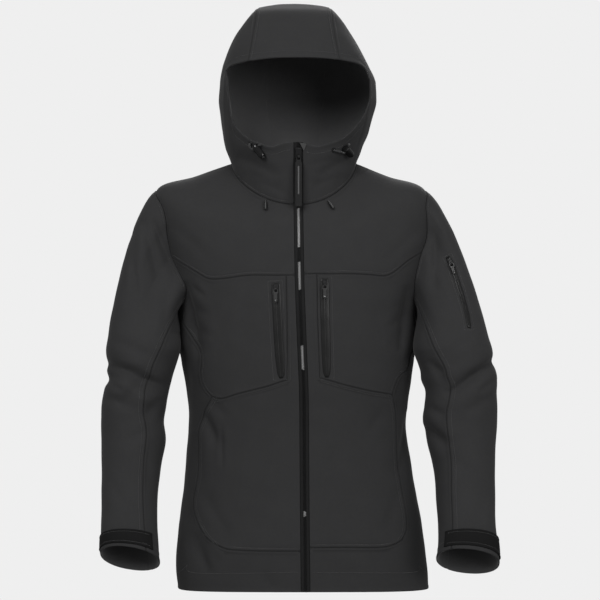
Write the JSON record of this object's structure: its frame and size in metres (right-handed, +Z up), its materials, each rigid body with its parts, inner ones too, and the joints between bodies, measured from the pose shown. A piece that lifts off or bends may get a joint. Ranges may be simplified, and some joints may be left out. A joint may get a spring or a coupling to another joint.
{
  "type": "hooded softshell jacket",
  "caption": "Hooded softshell jacket in charcoal cloth, zipped up in its worn shape and empty, with chest and sleeve zip pockets.",
  "frame": {"origin": "middle of the neck opening, level with the tops of the shoulders", "axes": "+Z up along the wearer's spine, front facing -Y, +X towards picture right (the left arm of the wearer)"},
  "size_m": [0.6832, 0.3164, 1.026],
  "materials": {
    "shell_cloth": "matte",
    "panel_cloth": "matte",
    "zip_tape": "satin, coated",
    "cuff_strap": "matte",
    "soft_rubber": "satin",
    "coated_metal": "gloss",
    "lock_plastic": "gloss",
    "cord": "matte",
    "flap_cloth": "matte"
  },
  "bodies": {
    "jacket": {"front_yoke_left": "shell_cloth", "front_chest_left": "shell_cloth", "front_lower_left": "shell_cloth", "side_hem_left": "panel_cloth", "front_yoke_right": "shell_cloth", "front_chest_right": "shell_cloth", "front_lower_right": "shell_cloth", "side_hem_right": "panel_cloth", "back_yoke": "shell_cloth", "back_body": "shell_cloth", "sleeve_upper_left": "shell_cloth", "sleeve_under_left": "panel_cloth", "sleeve_upper_right": "shell_cloth", "sleeve_under_right": "panel_cloth", "hood_side_left": "shell_cloth", "hood_side_right": "shell_cloth", "hood_centre": "shell_cloth", "zip_tape_left": "zip_tape", "zip_tape_right": "zip_tape", "chest_zip_tape_left": "zip_tape", "chest_zip_tape_right": "zip_tape", "sleeve_zip_tape": "zip_tape", "main_slider": "coated_metal", "chest_left_slider": "coated_metal", "chest_right_slider": "coated_metal", "sleeve_slider": "coated_metal", "cuff_tab_left": "cuff_strap", "cuff_tip_left": "soft_rubber", "cuff_tab_right": "cuff_strap", "cuff_tip_right": "soft_rubber", "cord_lock_left": "lock_plastic", "hood_eyelet_left": "coated_metal", "hood_cord_left": "cord", "cord_lock_right": "lock_plastic", "hood_eyelet_right": "coated_metal", "hood_cord_right": "cord", "neck_cord_end_left": "soft_rubber", "neck_cord_end_right": "soft_rubber", "garage_flap": "flap_cloth"},
    "main_pull_body": {"main_pull": "soft_rubber"},
    "chest_left_pull_body": {"chest_left_pull": "soft_rubber"},
    "chest_right_pull_body": {"chest_right_pull": "soft_rubber"},
    "sleeve_pull_body": {"sleeve_pull": "soft_rubber"},
    "cord_button_left_body": {"cord_button_left": "coated_metal"},
    "cord_button_right_body": {"cord_button_right": "coated_metal"}
  },
  "joints": [
    {"name": "main_pull_hinge", "type": "hinge", "parent": "jacket", "child": "main_pull_body", "pos_m": [0.00107, -0.11968, 0.00583], "axis": [-0.9982, -0.0606, 0], "range_deg": [-6, 150]},
    {"name": "chest_left_pull_hinge", "type": "hinge", "parent": "jacket", "child": "chest_left_pull_body", "pos_m": [-0.0375, -0.13617, -0.21971], "axis": [-0.9984, 0.0561, 0], "range_deg": [0, 150]},
    {"name": "chest_right_pull_hinge", "type": "hinge", "parent": "jacket", "child": "chest_right_pull_body", "pos_m": [0.04559, -0.13527, -0.21319], "axis": [-0.9973, -0.0735, 0], "range_deg": [0, 150]},
    {"name": "sleeve_pull_hinge", "type": "hinge", "parent": "jacket", "child": "sleeve_pull_body", "pos_m": [0.26389, -0.0756, -0.17558], "axis": [-0.9588, 0.0496, -0.2797], "range_deg": [0, 150]},
    {"name": "cord_button_left_press", "type": "slide", "parent": "jacket", "child": "cord_button_left_body", "axis": [-0.5916, 0.0516, 0.8046], "range_m": [0, 0.0025], "stiffness_N_per_m": 300},
    {"name": "cord_button_right_press", "type": "slide", "parent": "jacket", "child": "cord_button_right_body", "axis": [-0.4114, -0.8015, 0.4339], "range_m": [0, 0.0025], "stiffness_N_per_m": 300}
  ]
}
